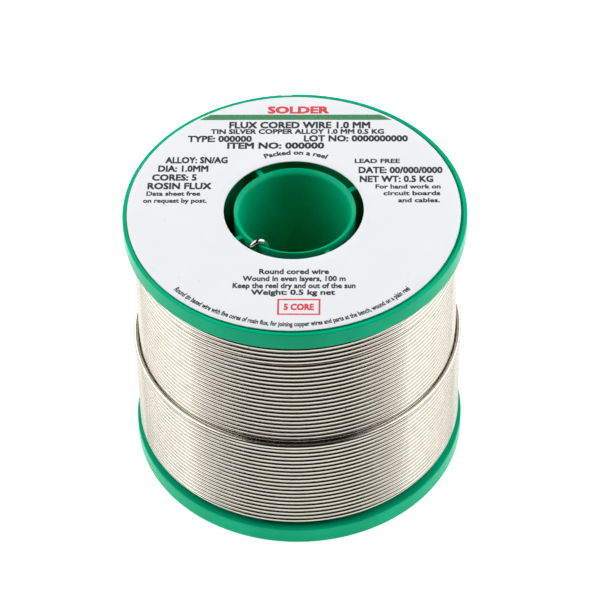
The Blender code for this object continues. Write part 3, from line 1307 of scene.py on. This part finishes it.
@dataclass(frozen=True)
class PrintedLine:
    """A line of generic print: its words, its left and right ends, its baseline and its letters' height.

    With an arc radius the line follows a circle round the spindle axis: above it when positive, and
    below it, reading along the label's front edge, when negative.
    """

    words: str
    left: float
    right: float
    baseline: float
    cap_height: float = 1.6
    weight: float = 0.038
    arc_radius: float = 0.0
    ink: Ink = Ink.BLACK


LABEL_PRINT = (
    PrintedLine("SOLDER", -5.1, 6.1, 25.5, 1.85, 0.045, ink=Ink.RED),
    PrintedLine("FLUX CORED WIRE 1.0 MM", -12.0, 13.6, 21.5, 1.7),
    PrintedLine("TIN SILVER COPPER ALLOY 1.0 MM 0.5 KG", -15.3, 16.1, 20.0, 1.25),
    PrintedLine("TYPE: 000000", -19.4, -7.8, 17.9),
    PrintedLine("LOT NO: 0000000000", 1.6, 20.4, 18.0),
    PrintedLine("ITEM NO: 000000", -12.2, 5.3, 16.1),
    PrintedLine("Packed on a reel", -5.4, 5.8, 0.0, 1.15, 0.036, 14.5),
    PrintedLine("ALLOY: SN/AG", -23.2, -12.0, 12.3),
    PrintedLine("DIA: 1.0MM", -24.4, -15.4, 10.1),
    PrintedLine("CORES: 5", -25.4, -17.4, 7.8),
    PrintedLine("ROSIN FLUX", -26.1, -14.7, 5.6),
    PrintedLine("Data sheet free", -26.2, -16.6, 3.9, 1.1, 0.034),
    PrintedLine("on request by post.", -26.7, -15.4, 2.1, 1.1, 0.034),
    PrintedLine("LEAD FREE", 10.8, 18.9, 12.3, 1.1, 0.036),
    PrintedLine("DATE: 00/000/0000", 11.5, 26.5, 9.7),
    PrintedLine("NET WT: 0.5 KG", 11.7, 24.8, 7.4),
    PrintedLine("For hand work on", 14.5, 26.1, 5.7, 1.1, 0.034),
    PrintedLine("circuit boards", 15.9, 26.0, 4.0, 1.1, 0.034),
    PrintedLine("and cables.", 18.5, 25.9, 2.2, 1.1, 0.034),
    PrintedLine("Round cored wire", -5.7, 6.4, -15.6, 1.25, 0.034),
    PrintedLine("Wound in even layers, 100 m", -8.5, 9.3, -17.3, 1.25, 0.034),
    PrintedLine("Keep the reel dry and out of the sun", -10.2, 11.0, -19.0, 1.25, 0.034),
    PrintedLine("Weight: 0.5 kg net", -7.0, 7.5, -20.6, 1.25, 0.034),
    PrintedLine("5 CORE", -1.3, 3.9, -24.2, 1.45, 0.05, ink=Ink.RED),
    PrintedLine(
        "Round tin based wire with five cores of rosin flux, for joining copper wires and parts at "
        "the bench, wound on a plain reel",
        -22.7, 22.9, 0.0, 1.1, 0.034, -28.1,
    ),
)


@dataclass
class PaperLabel:
    """The round paper label in the top recess, with its print, in millimetres."""

    shift: tuple[float, float] = (-0.19, 0.19)
    print_shift: tuple[float, float] = (-0.25, -0.21)
    print_turn: float = -1.7
    hole_radius: float = 12.4
    band_low: float = 23.7
    band_high: float = 25.1
    band_margin: float = 0.05
    band_steps: int = 6
    print_rise: float = 0.012
    wave: float = 13.0
    wave_height: float = 0.02
    ring_width: float = 1.5
    cut_edge: float = 0.03
    cut_steps: int = 2
    segments: int = 192
    crease: float = 40.0
    badge_centre: tuple[float, float] = (1.3, -23.5)
    badge_size: tuple[float, float] = (7.4, 3.8)
    badge_line: float = 0.32
    paper: CoatedPaper = CoatedPaper()

    def __post_init__(self) -> None:
        """Read the label's place from the part."""
        low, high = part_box("top_label")
        self.low = low.z / MM
        self.top = high.z / MM
        self.outer = high.x / MM

    def build(self) -> None:
        """Make the paper and its print."""
        corners = [
            (self.hole_radius, self.top, self.cut_edge), (self.outer, self.top, self.cut_edge),
            (self.outer, self.low, self.cut_edge), (self.hole_radius, self.low, self.cut_edge),
        ]
        outline = rounded_outline(corners, self.cut_steps)
        paper = lathe("paper_label", self._with_rings(outline), self.segments)
        paper.data.materials.append(self.paper.material())
        paper.data.transform(Matrix.Translation((self.shift[0] * MM, self.shift[1] * MM, 0.0)))
        self._settle(paper.data)
        shade(paper, self.crease)
        install(paper, "label_paper", "top_label")
        for ink in Ink:
            self._print(ink)

    def _with_rings(self, outline: Outline) -> Outline:
        """Add points across the flat top and bottom, so that the paper can lie a little uneven.

        Args:
            outline: The paper's section, in metres.

        Returns:
            The outline with its added points.
        """
        full = []
        for index, point in enumerate(outline):
            ahead = outline[(index + 1) % len(outline)]
            count = max(1, round(abs(ahead[0] - point[0]) / (self.ring_width * MM)))
            for step in range(count):
                share = step / count
                full.append(tuple(a + (b - a) * share for a, b in zip(point, ahead)))
        return full

    def _settle(self, mesh: bpy.types.Mesh) -> None:
        """Let a mesh follow the paper's slight unevenness.

        Args:
            mesh: The paper or its print, at its place.
        """
        for vertex in mesh.vertices:
            spot = Vector((vertex.co.x, vertex.co.y, 0.0)) / (self.wave * MM)
            dip = (noise.noise(spot) - 0.5) * self.wave_height * MM
            vertex.co.z += dip

    def _print(self, ink: Ink) -> None:
        """Make everything that is printed in one ink, as one piece.

        Args:
            ink: The ink.
        """
        sheet = bmesh.new()
        for line in LABEL_PRINT:
            if line.ink is ink:
                self._add(sheet, self._set_line(line))
        if ink is Ink.GREEN:
            self._add(sheet, self._band())
        if ink is Ink.RED:
            self._add(sheet, self._badge())
        bmesh.ops.recalc_face_normals(sheet, faces=sheet.faces)
        mesh = bpy.data.meshes.new(f"label_print_{ink.name.lower()}")
        sheet.to_mesh(mesh)
        sheet.free()
        place = Matrix.Translation((self.print_shift[0] * MM, self.print_shift[1] * MM, 0.0))
        mesh.transform(place @ Matrix.Rotation(math.radians(self.print_turn), 4, "Z"))
        self._settle(mesh)
        mesh.materials.clear()
        mesh.materials.append(ink.value.material())
        install(new_object(mesh.name, mesh), "")

    def _add(self, sheet: bmesh.types.BMesh, mesh: bpy.types.Mesh) -> None:
        """Add a mesh to a sheet of print and remove it."""
        sheet.from_mesh(mesh)
        bpy.data.meshes.remove(mesh)

    def _solid_print(self, curve: bpy.types.Curve, seam: float) -> bpy.types.Mesh:
        """Turn flat print into a solid film of ink on the paper.

        Args:
            curve: A flat text or curve with some extrude.
            seam: How far apart points of one corner may lie, in the curve's own units.

        Returns:
            Its mesh, half sunk in the paper; only its height is in metres yet.
        """
        guide = bpy.data.objects.new("print", curve)
        bpy.context.scene.collection.objects.link(guide)
        mesh = evaluated_mesh(guide, "print")
        bpy.data.objects.remove(guide, do_unlink=True)
        bpy.data.curves.remove(curve)
        for vertex in mesh.vertices:
            vertex.co.z = (self.top + self.print_rise * (1 if vertex.co.z > 0 else -1)) * MM
        sheet = bmesh.new()
        sheet.from_mesh(mesh)
        bmesh.ops.remove_doubles(sheet, verts=sheet.verts, dist=seam)
        sheet.to_mesh(mesh)
        sheet.free()
        return mesh

    def _set_line(self, line: PrintedLine) -> bpy.types.Mesh:
        """Set one line of print at its place on the label.

        Args:
            line: The line.

        Returns:
            Its mesh, in metres.
        """
        text = bpy.data.curves.new("line", "FONT")
        text.body = line.words
        text.resolution_u = 2
        text.extrude = FILM
        mesh = self._bold(self._solid_print(text, SEAM), line.weight)
        low = min(vertex.co.x for vertex in mesh.vertices)
        wide = max(vertex.co.x for vertex in mesh.vertices) - low
        for vertex in mesh.vertices:
            x = line.left + (vertex.co.x - low) / wide * (line.right - line.left)
            y = line.baseline + vertex.co.y / LETTER_HEIGHT * line.cap_height
            if line.arc_radius:
                angle = x / abs(line.arc_radius)
                reach = line.arc_radius + y
                x, y = abs(reach) * math.sin(angle), reach * math.cos(angle)
            vertex.co.x, vertex.co.y = x * MM, y * MM
        return mesh

    def _bold(self, thin: bpy.types.Mesh, weight: float) -> bpy.types.Mesh:
        """Thicken letters by joining copies of them set a little to each side.

        Args:
            thin: The letters' mesh, at the typeface's size 1.
            weight: How far each copy is set off, at the same size.

        Returns:
            The thicker letters' mesh.
        """
        copies = []
        for aside, along in ((-1, -1), (1, -1), (1, 1), (-1, 1)):
            mesh = thin.copy()
            mesh.transform(Matrix.Translation((aside * weight, along * weight, 0.0)))
            copies.append(new_object("letters", mesh))
        for other in copies[1:]:
            joint = copies[0].modifiers.new("thicken", "BOOLEAN")
            joint.operation = "UNION"
            joint.solver = "MANIFOLD"
            joint.object = other
        bold = evaluated_mesh(copies[0], "line")
        for obj in copies:
            bpy.data.objects.remove(obj, do_unlink=True)
        return bold

    def _flat_curve(self, *outlines: Outline) -> bpy.types.Curve:
        """A filled flat shape.

        Args:
            outlines: Its outline, in metres, and the outlines of its holes.

        Returns:
            The curve.
        """
        curve = bpy.data.curves.new("shape", "CURVE")
        curve.dimensions = "2D"
        curve.fill_mode = "BOTH"
        curve.extrude = FILM
        for points in outlines:
            spline = curve.splines.new("POLY")
            spline.points.add(len(points) - 1)
            for target, (x, y) in zip(spline.points, points):
                target.co = (x, y, 0.0, 1.0)
            spline.use_cyclic_u = True
        return curve

    def _band(self) -> bpy.types.Mesh:
        """The green band across the label, up to its edge.

        Returns:
            Its mesh, in metres.
        """
        edge = self.outer - self.band_margin
        first, last = math.asin(self.band_low / edge), math.asin(self.band_high / edge)
        points = []
        for step in range(self.band_steps + 1):
            angle = first + (last - first) * step / self.band_steps
            points.append((edge * math.cos(angle) * MM, edge * math.sin(angle) * MM))
        points += [(-x, y) for x, y in reversed(points)]
        return self._solid_print(self._flat_curve(points), SEAM * MM)

    def _badge(self) -> bpy.types.Mesh:
        """The thin red frame round the count of the wire's cores.

        Returns:
            Its mesh, in metres.
        """
        x, y = self.badge_centre
        outlines = []
        for inset in (0.0, self.badge_line):
            wide, high = (size / 2 - inset for size in self.badge_size)
            corners = [(-1, -1), (1, -1), (1, 1), (-1, 1)]
            outlines.append([((x + sx * wide) * MM, (y + sy * high) * MM) for sx, sy in corners])
        return self._solid_print(self._flat_curve(*outlines), SEAM * MM)


# ---------------------------------------------------------------- the studio

@dataclass
class Studio:
    """A pale floor, soft light from both sides and the camera, in metres and degrees."""

    floor_size: float = 2.4
    floor_front: float = 0.23
    box_place: tuple[float, float, float] = (0.55, 0.34, 0.48)
    box_aim: tuple[float, float, float] = (0.0, 0.34, 0.04)
    box_width: float = 1.3
    box_height: float = 0.85
    box_power: float = 7.9
    ambient: float = 0.02
    background: float = 1.0
    elevation: float = 45.981
    roll: float = -1.226
    distance: float = 0.548986
    focal_length: float = 180.96
    target: tuple[float, float, float] = (0.00058, 0.0, 0.032108)
    paper: StudioPaper = StudioPaper()

    def build(self) -> None:
        """Set up the floor, the lights, the surroundings and the camera."""
        self._floor()
        for side in (-1, 1):
            self._softbox(side)
        self._surroundings()
        self._camera()
        bpy.context.scene.view_settings.view_transform = "Standard"

    def _floor(self) -> None:
        """The pale floor that the spool stands on, which ends a little in front of it."""
        bpy.ops.mesh.primitive_plane_add(size=self.floor_size)
        floor = bpy.context.object
        floor.name = "studio_floor"
        floor.data.transform(Matrix.Translation((0.0, self.floor_size / 2 - self.floor_front, 0.0)))
        floor.data.materials.append(self.paper.material())

    def _softbox(self, side: int) -> None:
        """A large soft light at one side, leaning over the spool.

        Args:
            side: -1 for the left, 1 for the right.
        """
        lamp = bpy.data.lights.new("softbox", "AREA")
        lamp.shape = "RECTANGLE"
        lamp.size = self.box_width
        lamp.size_y = self.box_height
        lamp.energy = self.box_power
        obj = bpy.data.objects.new("softbox", lamp)
        bpy.context.scene.collection.objects.link(obj)
        away, back, high = self.box_place
        place = Vector((side * away, back, high))
        aim = (place - Vector(self.box_aim)).to_track_quat("Z", "Y").to_matrix().to_4x4()
        obj.matrix_world = Matrix.Translation(place) @ aim
        obj.visible_camera = False

    def _surroundings(self) -> None:
        """A dim room for the light, seen as a pale backdrop."""
        world = bpy.data.worlds.new("studio")
        bpy.context.scene.world = world
        world.use_nodes = True
        tree = world.node_tree
        tree.nodes.clear()
        seen = add_node(tree, "ShaderNodeLightPath").outputs["Is Camera Ray"]
        level = add_node(
            tree, "ShaderNodeMapRange", {"Value": seen, "To Min": self.ambient, "To Max": self.background}
        )
        sky = add_node(tree, "ShaderNodeBackground", {"Color": (1.0, 1.0, 1.0, 1.0), "Strength": level})
        add_node(tree, "ShaderNodeOutputWorld", {"Surface": sky})

    def _camera(self) -> None:
        """The camera, which looks down at the front of the spool."""
        tilt, roll = math.radians(self.elevation), math.radians(self.roll)
        forward = Vector((0.0, math.cos(tilt), -math.sin(tilt)))
        level = Vector((1.0, 0.0, 0.0))
        raised = Vector((0.0, math.sin(tilt), math.cos(tilt)))
        right = level * math.cos(roll) + raised * math.sin(roll)
        upward = raised * math.cos(roll) - level * math.sin(roll)
        lens = bpy.data.cameras.new("camera")
        lens.lens = self.focal_length
        camera = bpy.data.objects.new("camera", lens)
        bpy.context.scene.collection.objects.link(camera)
        turn = Matrix((right, upward, -forward)).transposed().to_4x4()
        camera.matrix_world = Matrix.Translation(Vector(self.target) - forward * self.distance) @ turn
        bpy.context.scene.camera = camera


def main() -> None:
    """Build the studio and every sub-assembly of the spool."""
    logging.basicConfig(level=logging.INFO, format="%(name)s: %(message)s")
    Studio().build()
    spool = MouldedSpool()
    spool.build()
    Winding().build(spool)
    PaperLabel().build()


if __name__ == "__main__":
    main()
